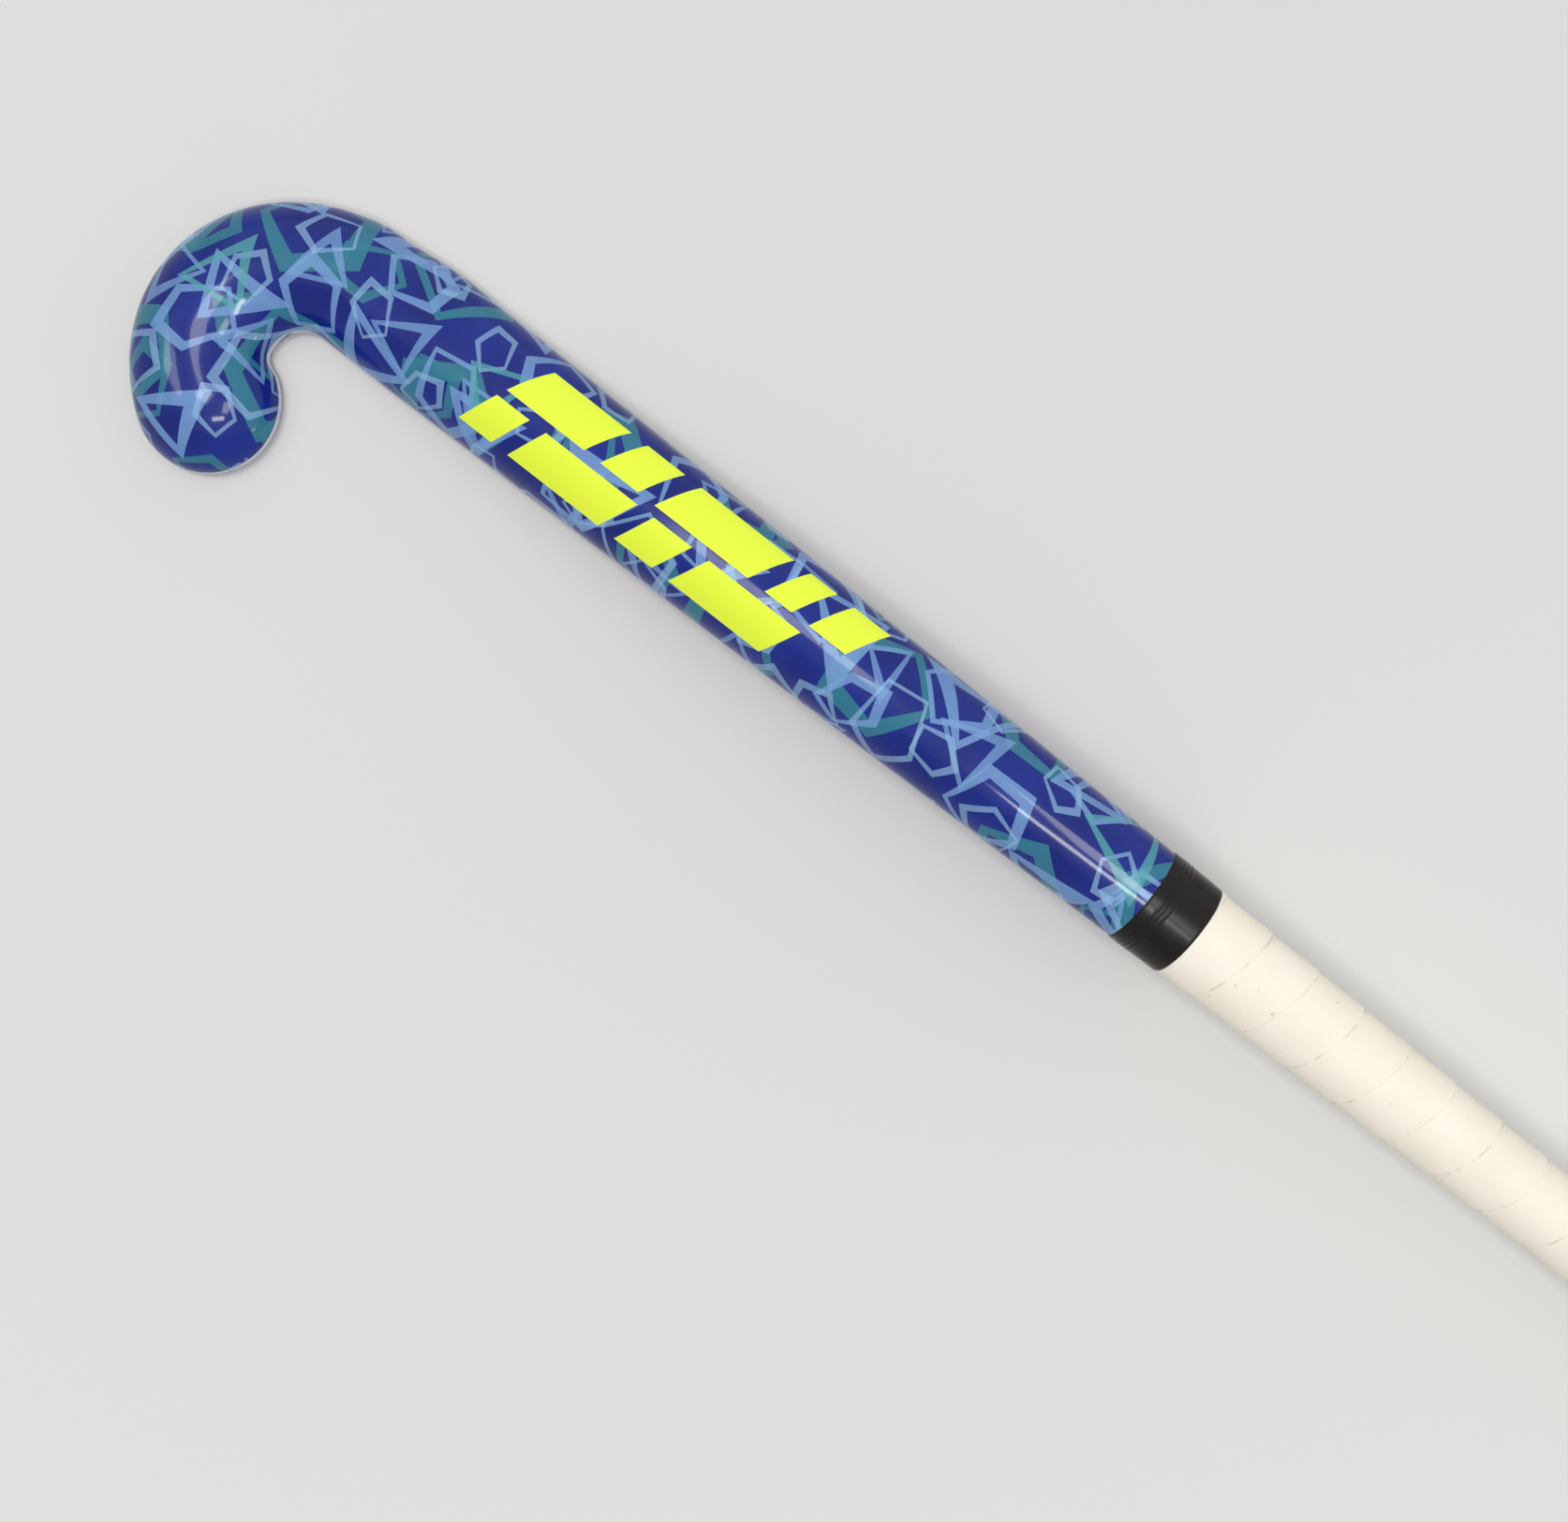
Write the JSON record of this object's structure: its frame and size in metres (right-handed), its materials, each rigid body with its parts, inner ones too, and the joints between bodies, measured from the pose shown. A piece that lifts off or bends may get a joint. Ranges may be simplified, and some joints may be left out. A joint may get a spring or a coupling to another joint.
{
  "type": "field hockey stick",
  "caption": "Field hockey stick with a J-shaped hook, flat playing face, rounded back, bowed shaft, tape band and wrapped handle, lying face down.",
  "frame": {"origin": "on the playing face, on the shaft's centreline, where the hook begins its bend", "axes": "+X along the shaft towards the butt, +Z out of the rounded back, away from the playing face; the toe curls to -Y"},
  "size_m": [0.762, 0.1129, 0.0433],
  "materials": {
    "lacquered_laminate": "high gloss lacquer",
    "printed_film": "high gloss clear coat over print",
    "tube_laminate": "bare cured laminate",
    "core_foam": "closed-cell foam",
    "damper_rubber": "matte",
    "plug_plastic": "moulded",
    "cap_rubber": "satin",
    "cushion_foam": "soft foam",
    "grip_ribbon": "matte, lightly creased",
    "black_tape": "glossy vinyl"
  },
  "bodies": {
    "root": {"laminate_shell": "lacquered_laminate", "back_film": "printed_film", "heel_side_tube": "tube_laminate", "toe_side_tube": "tube_laminate", "head_core": "core_foam", "handle_foam": "core_foam", "damping_strip": "damper_rubber", "butt_plug": "plug_plastic", "butt_cap": "cap_rubber", "cushion_sleeve": "cushion_foam", "grip_wrap": "grip_ribbon", "finishing_tape": "black_tape"}
  },
  "joints": []
}
